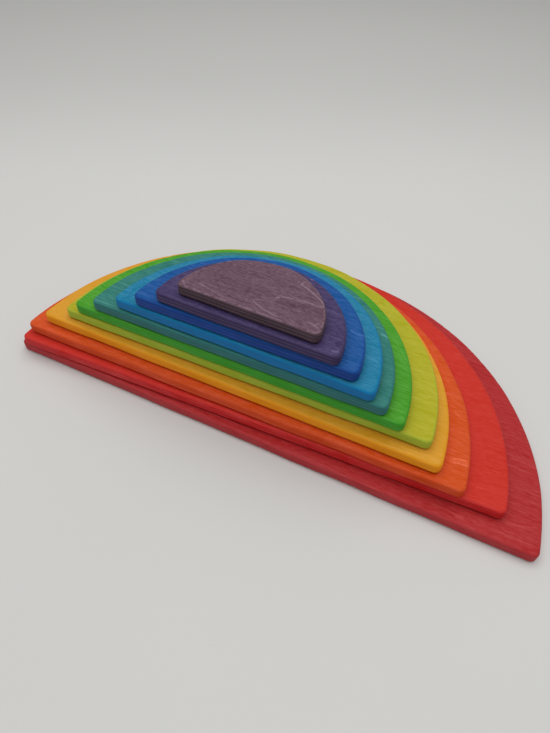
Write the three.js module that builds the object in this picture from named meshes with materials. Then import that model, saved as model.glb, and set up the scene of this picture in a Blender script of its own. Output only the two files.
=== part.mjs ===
// A stack of half-round plywood boards in rainbow stain, a wooden building toy.
// Each board is a half disc with rounded corners and a sanded rim. The boards lie loose on one another,
// the longest at the bottom, set down by hand and so a little out of line.
// Millimetres, +Z up, straight edges towards -Y, origin on the table under the middle of the longest board.

import * as THREE from "three";

// Driving dimensions
const LONGEST_LENGTH = 360; // diameter of the bottom board's half circle
const SHORTEST_LENGTH = 90; // diameter of the top board's half circle
const BOARD_THICKNESS = 8; // the plywood sheet
const CORNER_RADIUS = 4; // the two corners, seen from above
const RIM_RADIUS = 2; // sanded round along the rim, on both faces
const RESTING_GAP = 0.3; // air that raised grain and slight warp leave between two boards

// Fineness of the facets: the furthest that one may lie inside its true arc
const CHORD_ERROR = 0.08;

// Finish of the water stain on sanded wood
const STAIN_ROUGHNESS = 0.7;
const STAIN_METALNESS = 0;

// The boards from the table up, and how each was set down:
// along is its middle's place along the bottom board's straight edge, to the right,
// back is how far behind that edge its own straight edge lies, both in millimetres,
// and turn is its angle in degrees, anticlockwise seen from above.
const BOARDS = [
  { name: "crimson_board", stain: 0xa9303a, along: 0, back: 0, turn: 0 },
  { name: "scarlet_board", stain: 0xc8352f, along: -8.5, back: 5.5, turn: 2.4 },
  { name: "orange_board", stain: 0xd0522a, along: -19.2, back: 7.2, turn: 0.9 },
  { name: "golden_board", stain: 0xcc932a, along: -21.5, back: 12.3, turn: 0.3 },
  { name: "lime_board", stain: 0xa6ac2e, along: -17.3, back: 18, turn: 1 },
  { name: "green_board", stain: 0x45a02a, along: -20.5, back: 17, turn: 0.6 },
  { name: "teal_board", stain: 0x3b8078, along: -18, back: 16.9, turn: 0.4 },
  { name: "sky_board", stain: 0x2f82ab, along: -12.7, back: 17.3, turn: -0.2 },
  { name: "blue_board", stain: 0x2b5ba3, along: -10.3, back: 18.2, turn: 0.5 },
  { name: "violet_board", stain: 0x53446b, along: -7.9, back: 18, turn: -0.5 },
  { name: "plum_board", stain: 0x725865, along: -7.4, back: 21.1, turn: -1.2 },
];

// Number of facets that keeps an arc of this radius and sweep within the chord error.
function facets(radius, sweep) {
  const widest = 2 * Math.acos(1 - CHORD_ERROR / radius);
  return Math.ceil(sweep / widest);
}

function arcPoints(x, y, radius, from, to) {
  const arc = new THREE.EllipseCurve(x, y, radius, radius, from, to);
  return arc.getPoints(facets(radius, to - from));
}

// Outline from above: a half circle about the middle of the straight edge, its two corners rounded by arcs
// that touch both the straight edge and the half circle from inside.
function halfDiscOutline(length) {
  const radius = length / 2;
  const cornerX = Math.sqrt((radius - CORNER_RADIUS) ** 2 - CORNER_RADIUS ** 2);
  const touch = Math.atan2(CORNER_RADIUS, cornerX);
  return new THREE.Shape([
    ...arcPoints(cornerX, CORNER_RADIUS, CORNER_RADIUS, -Math.PI / 2, touch),
    ...arcPoints(0, 0, radius, touch, Math.PI - touch).slice(1),
    ...arcPoints(-cornerX, CORNER_RADIUS, CORNER_RADIUS, Math.PI - touch, 1.5 * Math.PI).slice(1),
  ]);
}

// One board: the outline sawn from sheet, with the rim rounded over on both faces.
// Its underside lies at z = 0.
function boardGeometry(length) {
  const geometry = new THREE.ExtrudeGeometry(halfDiscOutline(length), {
    depth: BOARD_THICKNESS - 2 * RIM_RADIUS,
    bevelEnabled: true,
    bevelThickness: RIM_RADIUS,
    bevelSize: RIM_RADIUS,
    bevelOffset: -RIM_RADIUS,
    bevelSegments: facets(RIM_RADIUS, Math.PI / 2),
  });
  return geometry.translate(0, 0, RIM_RADIUS);
}

// Lengths shrink by equal steps from the bottom board to the top one.
function boardLength(level) {
  return THREE.MathUtils.lerp(LONGEST_LENGTH, SHORTEST_LENGTH, level / (BOARDS.length - 1));
}

// A board in its stain, lying where it was set down on the boards below.
function placedBoard({ name, stain, along, back, turn }, level) {
  const material = new THREE.MeshStandardMaterial({
    color: stain,
    roughness: STAIN_ROUGHNESS,
    metalness: STAIN_METALNESS,
  });
  const board = new THREE.Mesh(boardGeometry(boardLength(level)), material);
  board.name = name;
  board.position.set(along, back, level * (BOARD_THICKNESS + RESTING_GAP));
  board.rotation.z = THREE.MathUtils.degToRad(turn);
  return board;
}

// The bottom board is half its length deep, so its middle lies a quarter of its length
// behind its straight edge.
const stack = new THREE.Group();
stack.add(...BOARDS.map(placedBoard));
stack.position.y = -LONGEST_LENGTH / 4;

export default stack;
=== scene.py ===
import math
from collections import namedtuple

import bpy
import numpy as np
from mathutils import Matrix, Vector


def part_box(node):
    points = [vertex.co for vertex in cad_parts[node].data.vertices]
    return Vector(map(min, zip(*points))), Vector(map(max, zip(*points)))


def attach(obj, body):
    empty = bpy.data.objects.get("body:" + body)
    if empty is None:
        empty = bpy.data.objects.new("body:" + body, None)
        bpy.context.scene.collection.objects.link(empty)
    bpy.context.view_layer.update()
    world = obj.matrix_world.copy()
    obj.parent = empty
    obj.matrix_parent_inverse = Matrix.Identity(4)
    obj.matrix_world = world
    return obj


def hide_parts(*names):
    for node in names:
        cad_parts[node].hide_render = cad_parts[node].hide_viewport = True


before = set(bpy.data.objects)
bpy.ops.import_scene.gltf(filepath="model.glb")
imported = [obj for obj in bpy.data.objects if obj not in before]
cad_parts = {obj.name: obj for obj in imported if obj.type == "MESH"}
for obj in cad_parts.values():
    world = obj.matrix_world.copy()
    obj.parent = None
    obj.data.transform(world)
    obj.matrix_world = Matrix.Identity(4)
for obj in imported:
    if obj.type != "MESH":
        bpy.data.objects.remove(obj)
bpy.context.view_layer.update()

bl_info = {
    "name": "Half-round board stack",
    "version": (1, 0, 0),
    "blender": (4, 5, 0),
    "location": "3D View > Sidebar > Boards",
    "description": "Makes a stack of half-round plywood boards in rainbow stains, lying on a pale table",
    "category": "Object",
}

# The boards' nodes from the table up. Each node is a body of its own, under the same name.
BOARDS = sorted(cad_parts, key=lambda node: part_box(node)[0].z)

# Where a board lies: the middle of its straight edge, its turn and its size, in metres and radians
Place = namedtuple("Place", "middle turn radius bottom thickness")

# The sheets of wood that make up the plywood
PLIES = 7

# How finely the boards are made
CAP_RINGS = 18  # from the rim of a face to its middle
RING_CROWDING = 1.8  # power that crowds these rings towards the rim
ROUND_STEPS = 10  # up each round of the rim
OUTLINE_STEP = 0.0014  # along the straight edge and the half circle
CORNER_STEP = 0.0004  # round the corners
GROOVE_ROWS = np.linspace(-1.6, 1.6, 5)  # across a groove between plies, in groove widths from its middle
GROOVE_START = 1.25  # height above a face where grooves start, in rim radii
FIRST_SEED = 100  # of the bottom board's chance values

# Traces of handwork, in metres. Widths are measured to one side.
SAW_WAVE = 0.05  # of the sawn outline
SANDING_WAVE = 0.04  # of the sanded round
GROOVE_WAVE = 0.03  # of the depth of the grooves between plies
GROOVE_WIDTH = 0.00016
KNOCK_SPACING = 0.06  # along the rim
KNOCK_WIDTHS = (0.0008, 0.0024)
KNOCK_DEPTHS = (0.3, 1.0)  # as shares of the dent depth
KNOCK_REACH = 0.0012  # down the edge and in over the face
KNOCK_DROP = 0.6  # how far a knock pushes the rim down, as a share of how far in
FALL_REACH = 0.003  # in from the rim
ARRIS_INSET = 0.0011  # from the edge to the line that hands wear first
ARRIS_WIDTH = 0.00045

# A line or band on a board's top, in metres from the middle of its straight edge: along is to the right and
# back is towards the round side. Bow is how far its middle bends aside, and width is measured to one side.
# With a strength above 0 the stain is rubbed paler, and below 0 the wood drank more of it.
Line = namedtuple("Line", "start end bow width strength")

# How steeply a line comes in from its ends
LINE_ENDS = 3.0

# The parts of a veneer's grain
Grain = namedtuple("Grain", "fibre pore speck streak hair cloud ring")

# How strongly each part brightens a face where the grain is long and where it is short, and the means of
# both, which are taken off again
LONG_GRAIN = Grain(fibre=0.45, pore=0.80, speck=0.00, streak=0.20, hair=0.22, cloud=0.16, ring=-0.12)
SHORT_GRAIN = Grain(fibre=0.38, pore=0.00, speck=1.00, streak=0.15, hair=0.16, cloud=0.16, ring=-0.12)
GRAIN_MEANS = (0.82, 0.87)

# Waves per metre of a board's noises: along its straight edge, across it and through it
DRIFT_WAVES = (10.0, 24.0, 9.0)
RING_WAVES = (6.0, 26.0, 11.0)
FIBRE_WAVES = (45.0, 1400.0, 300.0)
PORE_WAVES = (200.0, 1300.0, 500.0)
SPECK_WAVES = (420.0, 1200.0, 500.0)
STREAK_WAVES = (9.0, 240.0, 60.0)
HAIR_WAVES = (14.0, 900.0, 300.0)
CLOUD_WAVES = (20.0, 30.0, 17.0)
SCRATCH_WAVES = (600.0, 800.0, 400.0)
WEAR_AND_HIGHLIGHT_WAVES = (220.0, 220.0, 220.0)

# Shape of the grain
DRIFT_REACH = 0.008  # how far the grain drifts aside, in metres
HAIR_LEVELS = (0.60, 0.76)  # of noise, between which a hair comes in
RING_COUNT = 13.0  # contours over the whole range of the slow noise
RING_SHARPNESS = 10.0  # power that thins a ring

# Rubbing of the stain, and pale arris patches: partly worn stain, partly a painted highlight of the rim
SCRATCH_LEVELS = (0.22, 0.50)  # of the noise that breaks up a scratch
ARRIS_LEVELS = (0.15, 0.60)  # of nearness to the arris, between which wear and the painted highlight come in
KEPT_LEVELS = (0.70, 0.40)  # of noise, up to which a rim keeps its stain, at a wear and highlight of 0 and of 1
WEAR_AND_HIGHLIGHT_DEPTHS = (0.25, 0.50)  # paling of an arris patch by wear and painted highlight, at 0 and at 1
PATCH_BLUR = 0.12  # of a pale arris patch's outline, wear and painted highlight alike, in levels of noise

# The sawn edge: waves per metre along it, up it and from board to board, and how strongly each trace shows
FINE_LINE_WAVES = (70.0, 3000.0, 1.0)
EDGE_PORE_WAVES = (1500.0, 1100.0, 1.0)
BLOTCH_WAVES = (45.0, 160.0, 1.0)
FINE_LINE_CONTRAST = 0.45
EDGE_PORE_CONTRAST = 0.30
BLOTCH_CONTRAST = 0.35
END_GRAIN_SHADE = 0.55
GLUE_SHADE = 0.45
MEAN_PLY_SHADE = 0.22  # of end grain and glue together
GLUE_LINE = (0.03, 0.11)  # where a glue line starts to fade and where it ends, in plies from its middle

# Finish of the stain
DARK_DEPTH = 0.35  # how much deeper in colour the stain is where it is darker
SMOOTH_ROUGHNESS = 0.50
FIBRE_ROUGHNESS = 0.14
EDGE_ROUGHNESS = 0.12
RUBBED_ROUGHNESS = 0.08
RELIEF_DEPTH = 0.00018
RELIEF_STRENGTH = 0.25
FIBRE_RELIEF = 0.6
PORE_RELIEF = 0.4
RING_RELIEF = -0.5
RUBBED_RELIEF = -0.3

# The table top
FAR_SIDE = (-0.427, 0.905, 0.0)  # the way to its far end
TABLE_WAVES = (5.0, 5.0, 5.0)
TABLE_CLOUD = 0.03
TABLE_ROUGHNESS = 0.7
TABLE_SHEEN = 0.2

LINES = {
    "crimson_board": (
        Line((0.1530, 0.0580), (0.1730, 0.0570), 0.0006, 0.0008, 0.32),
        Line((0.1590, 0.0130), (0.1770, 0.0185), -0.0008, 0.0009, 0.26),
        Line((0.1330, 0.0040), (0.1385, 0.0050), 0.0004, 0.0018, 0.40),
        Line((0.1400, 0.0830), (0.1530, 0.0850), 0.0006, 0.0008, 0.22),
    ),
    "scarlet_board": (
        Line((0.1480, 0.0105), (0.1530, 0.0110), 0.0002, 0.0007, 0.25),
        Line((0.1550, 0.0255), (0.1590, 0.0250), 0.0002, 0.0006, 0.25),
    ),
    "orange_board": (
        Line((0.1410, 0.0188), (0.1495, 0.0208), 0.0006, 0.0007, 0.95),
        Line((0.1421, 0.0166), (0.1507, 0.0176), 0.0005, 0.0007, 0.90),
        Line((0.1398, 0.0180), (0.1515, 0.0194), 0.0003, 0.0030, 0.36),
        Line((0.1295, 0.0650), (0.1375, 0.0615), -0.0010, 0.0008, 0.32),
        Line((0.1335, 0.0555), (0.1425, 0.0500), -0.0012, 0.0008, 0.32),
        Line((0.1235, 0.0775), (0.1265, 0.0765), 0.0002, 0.0014, 0.35),
    ),
    "lime_board": (
        Line((0.1055, 0.0425), (0.1190, 0.0415), 0.0005, 0.0007, 0.22),
        Line((0.1040, 0.0290), (0.1200, 0.0280), -0.0004, 0.0006, 0.18),
    ),
    "green_board": (
        Line((0.0860, 0.0640), (0.0990, 0.0480), 0.0004, 0.0006, 0.30),
        Line((0.0880, 0.0590), (0.1000, 0.0440), -0.0003, 0.0005, 0.25),
        Line((0.0990, 0.0150), (0.1080, 0.0120), 0.0004, 0.0007, 0.32),
    ),
    "teal_board": (
        Line((0.0772, 0.0549), (0.0824, 0.0536), 0.0002, 0.0011, 1.00),
    ),
    "sky_board": (
        Line((0.0725, 0.0245), (0.0795, 0.0238), 0.0003, 0.0007, 0.45),
    ),
    "blue_board": (
        Line((0.0563, 0.0308), (0.0608, 0.0292), -0.0003, 0.0007, 0.70),
        Line((0.0604, 0.0292), (0.0652, 0.0300), -0.0003, 0.0007, 0.75),
    ),
    "violet_board": (
        Line((0.0180, 0.0536), (0.0205, 0.0540), 0.0001, 0.0012, 1.00),
        Line((0.0528, 0.0032), (0.0566, 0.0050), -0.0003, 0.0014, 0.70),
    ),
    "plum_board": (
        Line((0.0005, 0.0088), (0.0200, 0.0030), -0.0013, 0.0006, 0.80),
        Line((0.0005, 0.0088), (0.0140, 0.0118), 0.0012, 0.0006, 0.36),
        Line((0.0130, 0.0187), (0.0400, 0.0212), 0.0009, 0.0006, 0.75),
        Line((0.0113, 0.0160), (0.0131, 0.0178), 0.0001, 0.0011, 0.75),
        Line((0.0196, 0.0366), (0.0189, 0.0326), -0.0003, 0.0008, 0.85),
        Line((0.0186, 0.0336), (0.0372, 0.0240), 0.0009, 0.0006, 1.00),
        Line((-0.0332, 0.0070), (-0.0288, 0.0056), 0.0002, 0.0010, 0.70),
        Line((-0.0300, 0.0060), (-0.0080, 0.0032), -0.0005, 0.0006, 0.36),
        Line((-0.0426, 0.0050), (-0.0392, 0.0022), -0.0003, 0.0008, 0.70),
        Line((0.0345, 0.0072), (0.0428, 0.0048), 0.0003, 0.0006, 0.90),
        Line((0.0408, 0.0080), (0.0378, 0.0048), 0.0002, 0.0006, 0.70),
        Line((0.0110, 0.0145), (0.0420, 0.0165), 0.0006, 0.0045, -0.16),
        Line((-0.0340, 0.0140), (0.0060, 0.0140), 0.0010, 0.0080, -0.08),
    ),
}


def colour(name, description, default):
    """A setting for a colour."""
    return bpy.props.FloatVectorProperty(
        name=name, description=description, subtype="COLOR", size=3, min=0.0, max=1.0, default=default
    )


def length(name, description, metres):
    """A setting for a length."""
    return bpy.props.FloatProperty(
        name=name, description=description, subtype="DISTANCE", unit="LENGTH", precision=5, default=metres
    )


def share(name, description, value):
    """A setting for a share between 0 and 1."""
    return bpy.props.FloatProperty(
        name=name, description=description, subtype="FACTOR", min=0.0, max=1.0, default=value
    )


def angle(name, description, degrees):
    """A setting for an angle."""
    return bpy.props.FloatProperty(
        name=name, description=description, subtype="ANGLE", unit="ROTATION", default=math.radians(degrees)
    )


def factor(name, description, value):
    """A setting for a factor."""
    return bpy.props.FloatProperty(name=name, description=description, min=0.0, default=value)


def factor_of_each(name, description, values):
    """A setting with one factor for each board, from the table up."""
    return bpy.props.FloatVectorProperty(
        name=name, description=description, size=len(values), min=0.0, default=values
    )


class BoardStains(bpy.types.PropertyGroup):
    """The stain of each board, under its node's name."""

    crimson_board: colour("Crimson", "Stain of the bottom board", (0.418, 0.028, 0.030))
    scarlet_board: colour("Scarlet", "Stain of the second board", (0.564, 0.031, 0.019))
    orange_board: colour("Orange", "Stain of the third board", (0.619, 0.080, 0.015))
    golden_board: colour("Golden", "Stain of the fourth board", (0.664, 0.307, 0.026))
    lime_board: colour("Lime", "Stain of the fifth board", (0.421, 0.397, 0.021))
    green_board: colour("Green", "Stain of the sixth board", (0.069, 0.317, 0.023))
    teal_board: colour("Teal", "Stain of the seventh board", (0.036, 0.201, 0.169))
    sky_board: colour("Sky", "Stain of the eighth board", (0.020, 0.203, 0.355))
    blue_board: colour("Blue", "Stain of the ninth board", (0.011, 0.086, 0.300))
    violet_board: colour("Violet", "Stain of the tenth board", (0.061, 0.043, 0.123))
    plum_board: colour("Plum", "Stain of the top board", (0.138, 0.075, 0.106))


class BoardWood(bpy.types.PropertyGroup):
    """Sizes and finish of the plywood."""

    corner_radius: length("Corner radius", "Round of the two corners, seen from above", 0.004)
    rim_radius: length("Rim radius", "Sanded round along both faces", 0.0020)
    rim_unevenness: share("Rim unevenness", "How far hand sanding varies the round of the rim", 0.14)
    outline_wobble: length("Outline wobble", "How far the sawn outline wanders", 0.00012)
    face_fall: length("Face fall", "How far sanding lowers a face next to its rim", 0.00007)
    glue_groove: length("Glue groove", "Depth of the fine grooves between plies", 0.00007)
    dent_depth: length("Dent depth", "Depth of the small knocks along the rim", 0.00028)
    # The pale colour of rubbed stain also serves as the painted highlight along the arris
    rubbed_lift: factor("Rubbed lift", "Power by which a rubbed stain lets more light back", 1.7)
    rubbed_haze: share("Rubbed haze", "How much white a rubbed stain takes on", 0.06)
    face_sheen: share("Face sheen", "Strength of reflections on the faces", 0.15)
    edge_sheen: share("Edge sheen", "Strength of reflections on the sawn edge", 0.28)
    grain: factor_of_each(
        "Grain",
        "Strength of the grain on each board, from the table up",
        (0.58, 0.27, 0.47, 0.32, 0.58, 0.84, 1.30, 0.96, 0.94, 1.60, 1.55),
    )
    mottle: factor_of_each(
        "Mottle",
        "How far short specks take the place of long grain on each board, from the table up",
        (0.00, 0.00, 0.00, 0.00, 0.00, 0.10, 0.30, 0.20, 0.30, 0.70, 1.00),
    )
    ply_stripes: factor_of_each(
        "Ply stripes",
        "How strongly the plies show on each board's edge, from the table up",
        (0.10, 0.10, 0.10, 0.10, 0.14, 0.20, 0.25, 0.25, 0.40, 0.70, 0.60),
    )
    edge_level: factor_of_each(
        "Edge level",
        "Brightness of each board's edge against its face, from the table up",
        (1.03, 1.02, 1.04, 1.20, 1.08, 1.00, 0.80, 1.14, 0.86, 0.88, 0.55),
    )
    edge_depth: factor_of_each(
        "Edge depth",
        "Depth of colour of each board's edge against its face, from the table up",
        (1.00, 1.00, 1.02, 1.13, 1.00, 1.00, 0.95, 1.22, 1.00, 1.00, 0.85),
    )
    edge_hue: factor_of_each(
        "Edge hue",
        "Hue of each board's edge against its face, from the table up: 0.5 keeps it",
        (0.498, 0.496, 0.496, 0.486, 0.546, 0.514, 0.529, 0.527, 0.515, 0.500, 0.500),
    )
    # Pale patches along each rim: partly worn stain, partly a painted highlight of the rounded rim catching
    # the light
    rim_wear: factor_of_each(
        "Rim wear",
        "How far the stain has worn off each board's rim, from the table up",
        (0.10, 0.15, 0.25, 0.30, 0.32, 0.25, 0.25, 0.25, 0.30, 0.45, 0.90),
    )


class BoardStage(bpy.types.PropertyGroup):
    """Table, light and camera."""

    table_size: length("Table size", "Side of the table top", 8.0)
    table_drop: length("Table drop", "Air between the table and the bottom board", 0.0002)
    table_colour: colour("Table colour", "Colour of the table top", (0.632, 0.631, 0.619))
    far_start: length("Far start", "How far back the table starts to lie in shade", 0.22)
    far_end: length("Far end", "How far back the table lies wholly in shade", 0.56)
    far_shade: share("Far shade", "How much darker the far end of the table is", 0.12)
    sky_colour: colour("Sky colour", "Colour of the even light", (1.0, 0.99, 0.97))
    sky_strength: factor("Sky strength", "Strength of the even light from all round", 0.435)
    lamp_power: bpy.props.FloatProperty(
        name="Lamp power", description="Power of the broad lamp overhead", unit="POWER", min=0.0,
        default=11.0,
    )
    lamp_side: length("Lamp side", "Side of the broad lamp overhead", 1.4)
    lamp_place: bpy.props.FloatVectorProperty(
        name="Lamp place", description="Middle of the lamp", subtype="TRANSLATION", unit="LENGTH",
        default=(-0.03, 0.02, 1.15),
    )
    eye: bpy.props.FloatVectorProperty(
        name="Eye", description="Place of the camera", subtype="TRANSLATION", unit="LENGTH",
        default=(0.1066, -0.2682, 0.2888),
    )
    heading: angle("Heading", "How far the camera looks left of straight back", 25.3)
    dip: angle("Dip", "How far the camera looks down", 46.72)
    roll: angle("Roll", "How far the camera leans", 1.46)
    lens: bpy.props.FloatProperty(
        name="Lens", description="Focal length of the camera", subtype="DISTANCE_CAMERA", default=27.29
    )


def node_points(node):
    """The corners of a CAD node's mesh, as an array of points."""
    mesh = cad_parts[node].data
    points = np.empty(3 * len(mesh.vertices))
    mesh.vertices.foreach_get("co", points)
    return points.reshape(-1, 3)


def measure_board(node):
    """A board's place, turn and size, measured on its CAD node.

    The two points furthest apart are the ends of the board, so the line through them runs along its
    straight edge. The edge itself lies as far in front as the foremost point, the middle of the half
    circle is on it, halfway between the ends, and the radius reaches from there to the furthest point.
    """
    low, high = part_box(node)
    plan = np.unique(node_points(node)[:, :2].round(6), axis=0)
    apart = np.linalg.norm(plan[:, None] - plan[None, :], axis=2)
    ends = plan[list(np.unravel_index(apart.argmax(), apart.shape))]
    left, right = ends[ends[:, 0].argsort()]
    along = (right - left) / np.linalg.norm(right - left)
    back = np.array([-along[1], along[0]])
    middle = along * (along @ (left + right)) / 2 + back * (plan @ back).min()
    return Place(
        middle=middle,
        turn=math.atan2(along[1], along[0]),
        radius=np.linalg.norm(plan - middle, axis=1).max(),
        bottom=low.z,
        thickness=high.z - low.z,
    )


def arc(centre, radius, start, end, step):
    """Points and outward normals along an arc: the centre plus the radius along the normal, whose angle
    grows evenly from start to end. The end itself is left to the next stretch."""
    count = math.ceil(radius * (end - start) / step)
    angles = start + (end - start) * np.arange(count) / count
    normals = np.stack([np.cos(angles), np.sin(angles)], axis=1)
    return np.asarray(centre) + radius * normals, normals


def half_disc_outline(radius, corner):
    """Points and outward normals round a half disc, anticlockwise from the left end of its straight edge.

    The straight edge runs along y = 0. A corner arc touches it and the half circle from inside, the half
    circle turns about the middle of the edge, and the other corner arc closes the outline.
    """
    corner_x = math.sqrt((radius - corner) ** 2 - corner**2)
    touch = math.atan2(corner, corner_x)
    count = math.ceil(2 * corner_x / OUTLINE_STEP)
    straight = np.stack([np.linspace(-corner_x, corner_x, count, endpoint=False), np.zeros(count)], axis=1)
    stretches = [
        (straight, np.tile([0.0, -1.0], (count, 1))),
        arc((corner_x, corner), corner, -math.pi / 2, touch, CORNER_STEP),
        arc((0.0, 0.0), radius, touch, math.pi - touch, OUTLINE_STEP),
        arc((-corner_x, corner), corner, math.pi - touch, 1.5 * math.pi, CORNER_STEP),
    ]
    points, normals = zip(*stretches)
    return np.concatenate(points), np.concatenate(normals)


def running_length(points):
    """The way gone along a closed outline at each of its points, with its whole length added at the end."""
    steps = np.linalg.norm(np.roll(points, -1, axis=0) - points, axis=1)
    return np.concatenate([[0.0], np.cumsum(steps)])


def wobble(run, wave, rng):
    """A smooth wobble along a closed outline, from -1 to 1: a third of the sum of six cosines, each with a
    whole number of waves round the outline, about one wave to the given length, and a phase of its own."""
    cosines = 6
    waves = max(cosines, round(run[-1] / wave))
    counts = rng.integers(waves // 2, waves + 1, size=cosines)
    phases = rng.uniform(0.0, 2 * math.pi, size=cosines)
    turns = 2 * math.pi * run[:-1, None] / run[-1]
    return np.clip(np.cos(turns * counts + phases).sum(axis=1) / 3, -1, 1)


def knocks_along(run, rng):
    """The depth of small knocks along a closed outline, from 0 to 1: the largest of a few bell curves, each
    with a place, a width and a depth of its own."""
    count = math.ceil(run[-1] / KNOCK_SPACING)
    places = rng.uniform(0.0, run[-1], size=count)
    widths = rng.uniform(*KNOCK_WIDTHS, size=count)
    depths = rng.uniform(*KNOCK_DEPTHS, size=count)
    apart = np.abs(run[:-1, None] - places)
    apart = np.minimum(apart, run[-1] - apart)
    return (depths * np.exp(-((apart / widths) ** 2))).max(axis=1)


def board_rows(thickness, wood, run, rng):
    """The rows of a board's grid, from the underside up: how far inside the outline and how high each point
    lies, and how far each row is drawn towards its pole, from 0 at the rim to 1.

    Rings on the underside come first, the innermost ring before the others. The lower round is a quarter
    circle of radius r, with inset r (1 - sin a) and height r (1 - cos a). The edge has rows close to its
    glue lines, which lie in grooves shaped as bell curves. The upper round and the rings on top mirror the
    lower ones.
    """
    lower = wood.rim_radius * (1 + wood.rim_unevenness * wobble(run, SANDING_WAVE, rng))
    upper = wood.rim_radius * (1 + wood.rim_unevenness * wobble(run, SANDING_WAVE, rng))
    sweep = np.linspace(0.0, math.pi / 2, ROUND_STEPS)[:, None]
    lower_round = (lower * (1 - np.sin(sweep)), lower * (1 - np.cos(sweep)))
    upper_round = (upper * (1 - np.cos(sweep)), thickness - upper * (1 - np.sin(sweep)))

    glue_lines = thickness * np.arange(1, PLIES) / PLIES
    heights = (glue_lines[:, None] + GROOVE_WIDTH * GROOVE_ROWS).ravel()
    clear_of_rounds = GROOVE_START * wood.rim_radius
    heights = heights[(heights > clear_of_rounds) & (heights < thickness - clear_of_rounds)]
    grooves = np.exp(-(((heights[:, None] - glue_lines) / GROOVE_WIDTH) ** 2)).sum(axis=1, keepdims=True)
    depth = wood.glue_groove * (0.5 + 0.5 * wobble(run, GROOVE_WAVE, rng))
    edge = (grooves * depth, np.tile(heights[:, None], len(depth)))

    draws = (np.arange(1, CAP_RINGS) / CAP_RINGS) ** RING_CROWDING
    flat = np.zeros((len(draws), len(depth)))
    stretches = (flat + lower, flat), lower_round, edge, upper_round, (flat + upper, flat + thickness)
    insets, levels = (np.concatenate(part) for part in zip(*stretches))
    at_rim = np.zeros(len(levels) - 2 * len(draws))
    return insets, levels, np.concatenate([draws[::-1], at_rim, draws])[:, None]


def board_surface(place, wood, level):
    """A board as one closed grid: rows run up its profile and columns run round its outline.

    A point is the outline's point, moved inwards along its normal by the row's inset and then drawn towards
    the pole, which is the half disc's centre of area. Knocks push the upper rim in and down, and both faces
    fall a little towards the rim. Returns the points by row and column, the two poles, four values at each
    point, its height and the outline's running length. The values tell how near the point is to the arris
    that hands wear first, how much it belongs to the edge and to the top, and how squarely the edge cuts
    the grain.
    """
    rng = np.random.default_rng(FIRST_SEED + level)
    outline, normals = half_disc_outline(place.radius, wood.corner_radius)
    run = running_length(outline)
    outline = outline + normals * (wood.outline_wobble * wobble(run, SAW_WAVE, rng))[:, None]
    insets, levels, drawn = board_rows(place.thickness, wood, run, rng)

    below_top = place.thickness - levels
    reached = np.exp(-((below_top / KNOCK_REACH) ** 2) - drawn * place.radius / KNOCK_REACH)
    knocks = wood.dent_depth * knocks_along(run, rng) * reached
    insets = insets + knocks
    levels = levels - KNOCK_DROP * knocks
    from_rim = insets + drawn * place.radius / 2
    fall = wood.face_fall * np.exp(-((from_rim / FALL_REACH) ** 2))
    levels = levels + np.where(levels > place.thickness / 2, -fall, fall)

    pole = np.array([0.0, 4 * place.radius / (3 * math.pi)])
    plan = outline - normals * insets[..., None]
    plan = pole + (plan - pole) * (1 - drawn)[..., None]
    points = np.concatenate([plan, levels[..., None]], axis=2)
    poles = np.array([[*pole, 0.0], [*pole, place.thickness]])

    top = np.clip(1 - (place.thickness - levels) / wood.rim_radius, 0, 1)
    underside = np.clip(1 - levels / wood.rim_radius, 0, 1)
    values = {
        "arris": np.exp(-(((from_rim - ARRIS_INSET) / ARRIS_WIDTH) ** 2)),
        "edge": np.where(drawn > 0, 0.0, 1 - np.maximum(top, underside) ** 2),
        "top": top,
        "across": np.broadcast_to(np.abs(normals[:, 0]), levels.shape),
    }
    return points, poles, values, levels, run


def settle(points, place):
    """Points of a board in its own plan, turned and moved to where the board lies."""
    c, s = math.cos(place.turn), math.sin(place.turn)
    turned = points @ np.array([[c, s, 0.0], [-s, c, 0.0], [0.0, 0.0, 1.0]])
    return turned + np.array([*place.middle, place.bottom])


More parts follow.
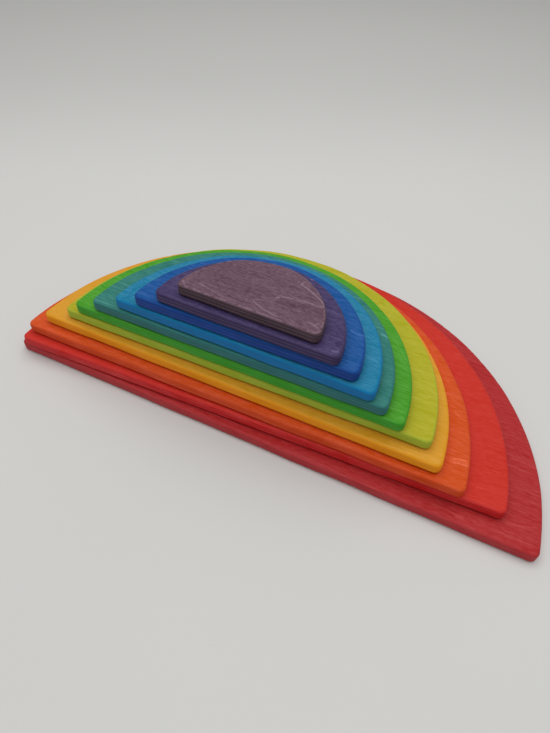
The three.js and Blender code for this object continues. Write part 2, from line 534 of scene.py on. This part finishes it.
def closed_mesh(name, points, poles, values, levels, run):
    """A mesh from a grid that closes round its columns and ends in a pole below and above.

    Quads join neighbouring rows and columns, and triangles join the first and last rows to their poles. Each
    point keeps its values as attributes, and the map "edge_run" has the way gone round the outline and the
    height, both in metres.
    """
    rows, columns = points.shape[:2]
    index = np.arange(rows * columns).reshape(rows, columns)
    right = np.roll(index, -1, axis=1)
    quads = np.stack([index[:-1], right[:-1], right[1:], index[1:]], axis=2).reshape(-1, 4)
    low_pole, high_pole = rows * columns, rows * columns + 1
    low_fan = np.stack([right[0], index[0], np.full(columns, low_pole)], axis=1)
    high_fan = np.stack([index[-1], right[-1], np.full(columns, high_pole)], axis=1)
    corners = np.concatenate([quads.ravel(), low_fan.ravel(), high_fan.ravel()])
    sizes = np.concatenate([np.full(len(quads), 4), np.full(2 * columns, 3)])

    mesh = bpy.data.meshes.new(name)
    mesh.vertices.add(rows * columns + 2)
    mesh.vertices.foreach_set("co", np.concatenate([points.reshape(-1, 3), poles]).ravel())
    mesh.loops.add(len(corners))
    mesh.loops.foreach_set("vertex_index", corners)
    mesh.polygons.add(len(sizes))
    mesh.polygons.foreach_set("loop_start", np.cumsum(sizes) - sizes)
    mesh.polygons.foreach_set("use_smooth", np.ones(len(sizes), dtype=bool))
    mesh.update(calc_edges=True)

    for key, value in values.items():
        layer = mesh.attributes.new(key, "FLOAT", "POINT")
        at_poles = [value[0, 0], value[-1, 0]]
        layer.data.foreach_set("value", np.append(value.ravel(), at_poles).astype(np.float32))
    here = np.broadcast_to(run[:-1], (rows, columns))
    ahead = np.broadcast_to(run[1:], (rows, columns))
    across = np.stack([here[:-1], ahead[:-1], ahead[1:], here[1:]], axis=2).reshape(-1)
    heights = np.append(levels.ravel(), [0.0, levels.max()])[corners]
    across = np.concatenate([across, np.zeros(6 * columns)])
    layer = mesh.uv_layers.new(name="edge_run")
    layer.data.foreach_set("uv", np.stack([across, heights], axis=1).astype(np.float32).ravel())
    return mesh


def between(pair, part):
    """The first of a pair of numbers where part is 0, the second where it is 1."""
    return pair[0] + (pair[1] - pair[0]) * part


def feed(tree, socket, value):
    """Gives a node's socket a value, or the output of another node."""
    if isinstance(value, bpy.types.NodeSocket):
        tree.links.new(value, socket)
    else:
        socket.default_value = value


def add_node(tree, kind, feeds=None, **options):
    """Adds a node with its options, and feeds its inputs by name or number."""
    made = tree.nodes.new(kind)
    for option, value in options.items():
        setattr(made, option, value)
    for key, value in (feeds or {}).items():
        feed(tree, made.inputs[key], value)
    return made


def calc(tree, operation, *values, clamp=False):
    """A sum, product or other function of one to three numbers."""
    feeds = dict(enumerate(values))
    return add_node(tree, "ShaderNodeMath", feeds, operation=operation, use_clamp=clamp).outputs[0]


def total(tree, *terms):
    """The sum of several (number, weight) pairs."""
    result = 0.0
    for value, weight in terms:
        result = calc(tree, "MULTIPLY_ADD", value, weight, result)
    return result


def noise(tree, place, waves, detail=2.0, roughness=0.5):
    """Smooth noise from 0 to 1, with the given waves per metre along x, y and z."""
    scaled = add_node(tree, "ShaderNodeVectorMath", {0: place, 1: waves}, operation="MULTIPLY").outputs[0]
    feeds = {"Vector": scaled, "Scale": 1.0, "Detail": detail, "Roughness": roughness}
    return add_node(tree, "ShaderNodeTexNoise", feeds).outputs["Fac"]


def soft_step(tree, value, low, high):
    """0 below low, 1 above high, and a smooth rise between them."""
    feeds = {"Value": value, "From Min": low, "From Max": high}
    return add_node(tree, "ShaderNodeMapRange", feeds, interpolation_type="SMOOTHSTEP").outputs["Result"]


def blend_number(tree, part, first, second):
    """The first number where part is 0, the second where it is 1."""
    feeds = {"Factor": part, "A": first, "B": second}
    return add_node(tree, "ShaderNodeMix", feeds, data_type="FLOAT").outputs["Result"]


def blend_colour(tree, part, first, second):
    """The first colour where part is 0, the second where it is 1."""
    made = add_node(tree, "ShaderNodeMix", {0: part}, data_type="RGBA")
    feed(tree, made.inputs[6], first)
    feed(tree, made.inputs[7], second)
    return made.outputs[2]


def attribute(tree, name):
    """A number that each point of the mesh carries."""
    return add_node(tree, "ShaderNodeAttribute", attribute_name=name).outputs["Fac"]


def line_group():
    """A node group that is 1 on a bowed line and 0 away from it.

    With t the share of the way from start to end and q the distance to the side, the line is where q comes
    within its width of bow times 4 t (1 - t), and it thins out at both ends.
    """
    group = bpy.data.node_groups.new("bowed line", "ShaderNodeTree")
    for name, kind in (
        ("Place", "NodeSocketVector"),
        ("Start", "NodeSocketVector"),
        ("Way", "NodeSocketVector"),
        ("Side", "NodeSocketVector"),
        ("Bow", "NodeSocketFloat"),
        ("Width", "NodeSocketFloat"),
    ):
        group.interface.new_socket(name, in_out="INPUT", socket_type=kind)
    group.interface.new_socket("Line", in_out="OUTPUT", socket_type="NodeSocketFloat")
    given = group.nodes.new("NodeGroupInput").outputs
    result = group.nodes.new("NodeGroupOutput")
    offset = {0: given["Place"], 1: given["Start"]}
    offset = add_node(group, "ShaderNodeVectorMath", offset, operation="SUBTRACT").outputs[0]
    t = add_node(group, "ShaderNodeVectorMath", {0: offset, 1: given["Way"]}, operation="DOT_PRODUCT")
    q = add_node(group, "ShaderNodeVectorMath", {0: offset, 1: given["Side"]}, operation="DOT_PRODUCT")
    t, q = t.outputs["Value"], q.outputs["Value"]
    hump = calc(group, "MULTIPLY", calc(group, "MULTIPLY", t, calc(group, "SUBTRACT", 1.0, t)), 4.0)
    aside = calc(group, "ABSOLUTE", calc(group, "SUBTRACT", q, calc(group, "MULTIPLY", hump, given["Bow"])))
    near = calc(group, "SUBTRACT", 1.0, calc(group, "DIVIDE", aside, given["Width"]), clamp=True)
    ends = calc(group, "MULTIPLY", hump, LINE_ENDS, clamp=True)
    feed(group, result.inputs["Line"], calc(group, "MULTIPLY", near, ends))
    return group


def line_cover(tree, spot, lines):
    """The strongest of several lines at each point of a board's top, from 0 to 1."""
    strongest = 0.0
    group = bpy.data.node_groups.get("bowed line") or line_group()
    for line in lines:
        start = np.array(line.start)
        way = np.array(line.end) - start
        reach = np.linalg.norm(way)
        feeds = {
            "Place": spot,
            "Start": (*start, 0.0),
            "Way": (*(way / reach**2), 0.0),
            "Side": (-way[1] / reach, way[0] / reach, 0.0),
            "Bow": line.bow,
            "Width": line.width,
        }
        made = add_node(tree, "ShaderNodeGroup", node_tree=group)
        for key, value in feeds.items():
            feed(tree, made.inputs[key], value)
        strength = calc(tree, "MULTIPLY", made.outputs["Line"], abs(line.strength))
        strongest = calc(tree, "MAXIMUM", strongest, strength)
    return calc(tree, "MULTIPLY", strongest, attribute(tree, "top"))


def ply_ramp(tree, height, stops):
    """A ramp along the board's thickness that jumps to each stop's brightness at its height, from 0 to 1."""
    ramp = add_node(tree, "ShaderNodeValToRGB", {"Fac": height})
    ramp.color_ramp.interpolation = "CONSTANT"
    elements = ramp.color_ramp.elements
    while len(elements) < len(stops):
        elements.new(0.5)
    for element, (position, value) in zip(elements, stops):
        element.position = position
        element.color = (value, value, value, 1.0)
    return ramp.outputs["Color"]


def own_spot(tree, place, level):
    """Places in a board's own plan, as its lines are given. A height of its own for each board keeps any two
    boards from sharing a grain."""
    spot = add_node(tree, "ShaderNodeTexCoord").outputs["Object"]
    feeds = {"Vector": spot, "Location": (*place.middle, -float(level)), "Rotation": (0.0, 0.0, place.turn)}
    return add_node(tree, "ShaderNodeMapping", feeds, vector_type="TEXTURE").outputs["Vector"]


def veneer_grain(tree, spot):
    """The parts of the outer veneer's grain, each from 0 to 1. They run along the straight edge and drift a
    little aside: fibres, long pores, short specks, broad streaks, thin pale hairs, clouds where the veneer
    drank more stain, and growth rings, which are the contour lines of a slow noise."""
    drift = calc(tree, "MULTIPLY", noise(tree, spot, DRIFT_WAVES, detail=1.0), DRIFT_REACH)
    drift = add_node(tree, "ShaderNodeCombineXYZ", {"Y": drift}).outputs["Vector"]
    grown = add_node(tree, "ShaderNodeVectorMath", {0: spot, 1: drift}, operation="ADD").outputs[0]
    slow = noise(tree, grown, RING_WAVES, detail=0.6)
    contours = calc(tree, "FRACT", calc(tree, "MULTIPLY", slow, RING_COUNT))
    return Grain(
        fibre=noise(tree, grown, FIBRE_WAVES, detail=3.0, roughness=0.65),
        pore=noise(tree, grown, PORE_WAVES, roughness=0.6),
        speck=noise(tree, grown, SPECK_WAVES, roughness=0.6),
        streak=noise(tree, grown, STREAK_WAVES),
        hair=soft_step(tree, noise(tree, grown, HAIR_WAVES, detail=1.0), *HAIR_LEVELS),
        cloud=noise(tree, spot, CLOUD_WAVES),
        ring=calc(tree, "POWER", contours, RING_SHARPNESS),
    )


def face_tone(tree, grain, strength, mottle, deepened):
    """Brightness of the stain on a face, about 1, from the weighted parts of the grain. Where a board is
    mottled, short specks take the place of its long pores."""
    weights = [strength * between(pair, mottle) for pair in zip(LONG_GRAIN, SHORT_GRAIN)]
    mean = strength * between(GRAIN_MEANS, mottle)
    return total(tree, *zip(grain, weights), (deepened, -1.0), (1.0, 1.0 - mean))


def edge_tone(tree, thickness, brightness, stripes, level):
    """Brightness of the stain on the sawn edge. The plies lie crosswise by turns: one that shows its end
    grain is darker, and so are the glue lines between plies. Fine lines, pores and blotches go over all."""
    edge_run = add_node(tree, "ShaderNodeUVMap", uv_map="edge_run").outputs["UV"]
    feeds = {0: edge_run, 1: (0.0, 0.0, float(level))}
    spot = add_node(tree, "ShaderNodeVectorMath", feeds, operation="ADD").outputs[0]
    height = add_node(tree, "ShaderNodeSeparateXYZ", {"Vector": edge_run}).outputs["Y"]
    height = calc(tree, "DIVIDE", height, thickness)
    crosswise = ply_ramp(tree, height, [(ply / PLIES, float(ply % 2)) for ply in range(PLIES)])
    across = attribute(tree, "across")
    along = calc(tree, "SUBTRACT", 1.0, calc(tree, "MULTIPLY", across, across), clamp=True)
    end_grain = blend_number(tree, crosswise, across, calc(tree, "SQRT", along))
    glue = calc(tree, "FRACT", calc(tree, "MULTIPLY_ADD", height, float(PLIES), 0.5))
    glue = calc(tree, "ABSOLUTE", calc(tree, "SUBTRACT", glue, 0.5))
    glue = calc(tree, "SUBTRACT", 1.0, soft_step(tree, glue, *GLUE_LINE))
    contrasts = FINE_LINE_CONTRAST + EDGE_PORE_CONTRAST + BLOTCH_CONTRAST
    return total(
        tree,
        (end_grain, -END_GRAIN_SHADE * stripes),
        (glue, -GLUE_SHADE * stripes),
        (noise(tree, spot, FINE_LINE_WAVES), FINE_LINE_CONTRAST),
        (noise(tree, spot, EDGE_PORE_WAVES), EDGE_PORE_CONTRAST),
        (noise(tree, spot, BLOTCH_WAVES), BLOTCH_CONTRAST),
        (1.0, brightness + MEAN_PLY_SHADE * stripes - contrasts / 2),
    )


def rubbed_and_highlight_share(tree, spot, lines, wear_and_highlight):
    """How far the stain is rubbed off, from 0 to 1: along the board's pale lines, which the grain breaks up,
    and in patches along the arris, which stand partly for worn stain and partly for a painted highlight."""
    broken = soft_step(tree, noise(tree, spot, SCRATCH_WAVES), *SCRATCH_LEVELS)
    scratched = calc(tree, "MULTIPLY", line_cover(tree, spot, lines), broken)
    kept = between(KEPT_LEVELS, wear_and_highlight)
    patches = noise(tree, spot, WEAR_AND_HIGHLIGHT_WAVES, detail=4.0, roughness=0.7)
    patches = soft_step(tree, patches, kept, kept + PATCH_BLUR)
    on_arris = soft_step(tree, attribute(tree, "arris"), *ARRIS_LEVELS)
    # Pale patches on the arris: partly worn stain, partly a painted highlight of the rim
    worn_and_highlit = calc(tree, "MULTIPLY", calc(tree, "MULTIPLY", patches, on_arris), between(WEAR_AND_HIGHLIGHT_DEPTHS, wear_and_highlight))
    return calc(tree, "MAXIMUM", scratched, worn_and_highlit)


def stained_plywood(node, place, wood, stain, level):
    """Water stain on sanded plywood.

    The stain's brightness follows the grain on the faces and the plies on the edge, and it is deeper in
    colour where it is darker. Where it is rubbed off, a thinner coat of the same stain is left, and the same
    paler coat along the arris is partly a painted highlight.
    """
    material = bpy.data.materials.new(node.replace("_board", "_stain"))
    material.use_nodes = True
    tree = material.node_tree
    tree.nodes.clear()
    spot = own_spot(tree, place, level)
    grain = veneer_grain(tree, spot)
    lines = LINES.get(node, ())
    on_edge = attribute(tree, "edge")

    deepened = line_cover(tree, spot, [line for line in lines if line.strength < 0])
    face = face_tone(tree, grain, wood.grain[level], wood.mottle[level], deepened)
    edge = edge_tone(tree, place.thickness, wood.edge_level[level], wood.ply_stripes[level], level)
    tone = blend_number(tree, on_edge, face, edge)
    hue = blend_number(tree, on_edge, 0.5, wood.edge_hue[level])
    depth = blend_number(tree, on_edge, 1.0, wood.edge_depth[level])
    depth = calc(tree, "MULTIPLY", depth, calc(tree, "MULTIPLY_ADD", tone, -DARK_DEPTH, 1.0 + DARK_DEPTH))
    toned = {"Color": (*stain, 1.0), "Hue": hue, "Saturation": depth, "Value": tone}
    toned = add_node(tree, "ShaderNodeHueSaturation", toned).outputs["Color"]

    # Pale lines, and pale arris patches that are partly wear and partly a painted highlight of the rim
    rubbed_and_highlit = rubbed_and_highlight_share(tree, spot, [line for line in lines if line.strength > 0], wood.rim_wear[level])
    thin_coat_and_highlight = [1.0 - (1.0 - part) ** wood.rubbed_lift + wood.rubbed_haze for part in stain]
    painted = blend_colour(tree, rubbed_and_highlit, toned, (*thin_coat_and_highlight, 1.0))

    roughness = total(
        tree,
        (grain.fibre, FIBRE_ROUGHNESS),
        (on_edge, EDGE_ROUGHNESS),
        (rubbed_and_highlit, RUBBED_ROUGHNESS),
        (1.0, SMOOTH_ROUGHNESS),
    )
    sheen = blend_number(tree, on_edge, wood.face_sheen, wood.edge_sheen)
    relief = total(
        tree,
        (grain.fibre, FIBRE_RELIEF),
        (grain.pore, PORE_RELIEF),
        (grain.ring, RING_RELIEF),
        (rubbed_and_highlit, RUBBED_RELIEF),
    )
    feeds = {"Strength": RELIEF_STRENGTH, "Distance": RELIEF_DEPTH, "Height": relief}
    bump = add_node(tree, "ShaderNodeBump", feeds).outputs["Normal"]
    feeds = {"Base Color": painted, "Roughness": roughness, "Normal": bump, "Specular IOR Level": sheen}
    shader = add_node(tree, "ShaderNodeBsdfPrincipled", feeds).outputs["BSDF"]
    add_node(tree, "ShaderNodeOutputMaterial", {"Surface": shader})
    return material


def table_material(stage):
    """A pale matt table top with a faint unevenness, in shade at its far end."""
    material = bpy.data.materials.new("table_top")
    material.use_nodes = True
    tree = material.node_tree
    tree.nodes.clear()
    spot = add_node(tree, "ShaderNodeTexCoord").outputs["Object"]
    cloud = noise(tree, spot, TABLE_WAVES, detail=3.0)
    back = add_node(tree, "ShaderNodeVectorMath", {0: spot, 1: FAR_SIDE}, operation="DOT_PRODUCT")
    shaded = soft_step(tree, back.outputs["Value"], stage.far_start, stage.far_end)
    tone = total(tree, (cloud, TABLE_CLOUD), (shaded, -stage.far_shade), (1.0, 1.0 - TABLE_CLOUD / 2))
    painted = {"Color": (*stage.table_colour, 1.0), "Value": tone}
    painted = add_node(tree, "ShaderNodeHueSaturation", painted).outputs["Color"]
    feeds = {"Base Color": painted, "Roughness": TABLE_ROUGHNESS, "Specular IOR Level": TABLE_SHEEN}
    shader = add_node(tree, "ShaderNodeBsdfPrincipled", feeds).outputs["BSDF"]
    add_node(tree, "ShaderNodeOutputMaterial", {"Surface": shader})
    return material


class BOARDS_OT_add_board(bpy.types.Operator):
    """Make one stained half-round board in place of its CAD node"""

    bl_idname = "boards.add_board"
    bl_label = "Add Board"

    node: bpy.props.EnumProperty(
        name="Board",
        description="The CAD node that the board stands for",
        items=[(node, node.replace("_", " ").capitalize(), "") for node in BOARDS],
    )

    def execute(self, context):
        wood = context.scene.board_wood
        level = BOARDS.index(self.node)
        place = measure_board(self.node)
        points, poles, values, levels, run = board_surface(place, wood, level)
        name = self.node.replace("_board", "_plywood")
        mesh = closed_mesh(name, settle(points, place), settle(poles, place), values, levels, run)
        stain = getattr(context.scene.board_stains, self.node)
        mesh.materials.append(stained_plywood(self.node, place, wood, stain, level))
        board = bpy.data.objects.new(name, mesh)
        context.scene.collection.objects.link(board)
        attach(board, self.node)
        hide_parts(self.node)
        return {"FINISHED"}


class BOARDS_OT_set_stage(bpy.types.Operator):
    """Make the table, the light and the camera"""

    bl_idname = "boards.set_stage"
    bl_label = "Set Stage"

    def execute(self, context):
        scene = context.scene
        stage = scene.board_stage
        self.add_table(scene, stage)
        self.add_light(scene, stage)
        self.add_camera(scene, stage)
        scene.view_settings.view_transform = "Standard"
        return {"FINISHED"}

    def add_table(self, scene, stage):
        """A square table top, a hair below the bottom board."""
        half = stage.table_size / 2
        low = -stage.table_drop
        corners = [(-half, -half, low), (half, -half, low), (half, half, low), (-half, half, low)]
        mesh = bpy.data.meshes.new("table_top")
        mesh.from_pydata(corners, [], [(0, 1, 2, 3)])
        mesh.materials.append(table_material(stage))
        table = bpy.data.objects.new("table_top", mesh)
        scene.collection.objects.link(table)

    def add_light(self, scene, stage):
        """Even light from all round, and a broad lamp overhead that looks at the stack."""
        world = bpy.data.worlds.new("even_light")
        world.use_nodes = True
        background = world.node_tree.nodes["Background"]
        background.inputs["Color"].default_value = (*stage.sky_colour, 1.0)
        background.inputs["Strength"].default_value = stage.sky_strength
        scene.world = world
        light = bpy.data.lights.new("broad_lamp", "AREA")
        light.energy = stage.lamp_power
        light.size = stage.lamp_side
        lamp = bpy.data.objects.new("broad_lamp", light)
        lamp.location = stage.lamp_place
        lamp.rotation_euler = (-lamp.location).to_track_quat("-Z", "Y").to_euler()
        scene.collection.objects.link(lamp)

    def add_camera(self, scene, stage):
        """A camera at the eye, turned to its heading, dipped and rolled."""
        data = bpy.data.cameras.new("camera")
        data.lens = stage.lens
        data.clip_start = 0.01
        camera = bpy.data.objects.new("camera", data)
        heading = Matrix.Rotation(stage.heading, 4, "Z")
        dip = Matrix.Rotation(math.pi / 2 - stage.dip, 4, "X")
        roll = Matrix.Rotation(stage.roll, 4, "Z")
        camera.matrix_world = Matrix.Translation(stage.eye) @ heading @ dip @ roll
        scene.collection.objects.link(camera)
        scene.camera = camera


class BOARDS_PT_sidebar(bpy.types.Panel):
    """Boards and stage in the sidebar"""

    bl_idname = "BOARDS_PT_sidebar"
    bl_label = "Half-round Boards"
    bl_space_type = "VIEW_3D"
    bl_region_type = "UI"
    bl_category = "Boards"

    def draw(self, context):
        scene = context.scene
        for node in reversed(BOARDS):
            row = self.layout.row()
            row.prop(scene.board_stains, node)
            row.operator(BOARDS_OT_add_board.bl_idname, text="Add").node = node
        self.layout.operator(BOARDS_OT_set_stage.bl_idname)
        for group in (scene.board_wood, scene.board_stage):
            for name in group.bl_rna.properties.keys():
                if name not in ("rna_type", "name"):
                    self.layout.prop(group, name)


CLASSES = (
    BoardStains,
    BoardWood,
    BoardStage,
    BOARDS_OT_add_board,
    BOARDS_OT_set_stage,
    BOARDS_PT_sidebar,
)


def register():
    """Registers the classes and hangs the settings on the scene."""
    for made in CLASSES:
        bpy.utils.register_class(made)
    bpy.types.Scene.board_stains = bpy.props.PointerProperty(type=BoardStains)
    bpy.types.Scene.board_wood = bpy.props.PointerProperty(type=BoardWood)
    bpy.types.Scene.board_stage = bpy.props.PointerProperty(type=BoardStage)


def unregister():
    """Takes the settings and the classes away again."""
    del bpy.types.Scene.board_stage
    del bpy.types.Scene.board_wood
    del bpy.types.Scene.board_stains
    for made in reversed(CLASSES):
        bpy.utils.unregister_class(made)


def main():
    """Makes every board from the table up, then the stage."""
    register()
    for node in BOARDS:
        bpy.ops.boards.add_board(node=node)
    bpy.ops.boards.set_stage()


if __name__ == "__main__":
    main()
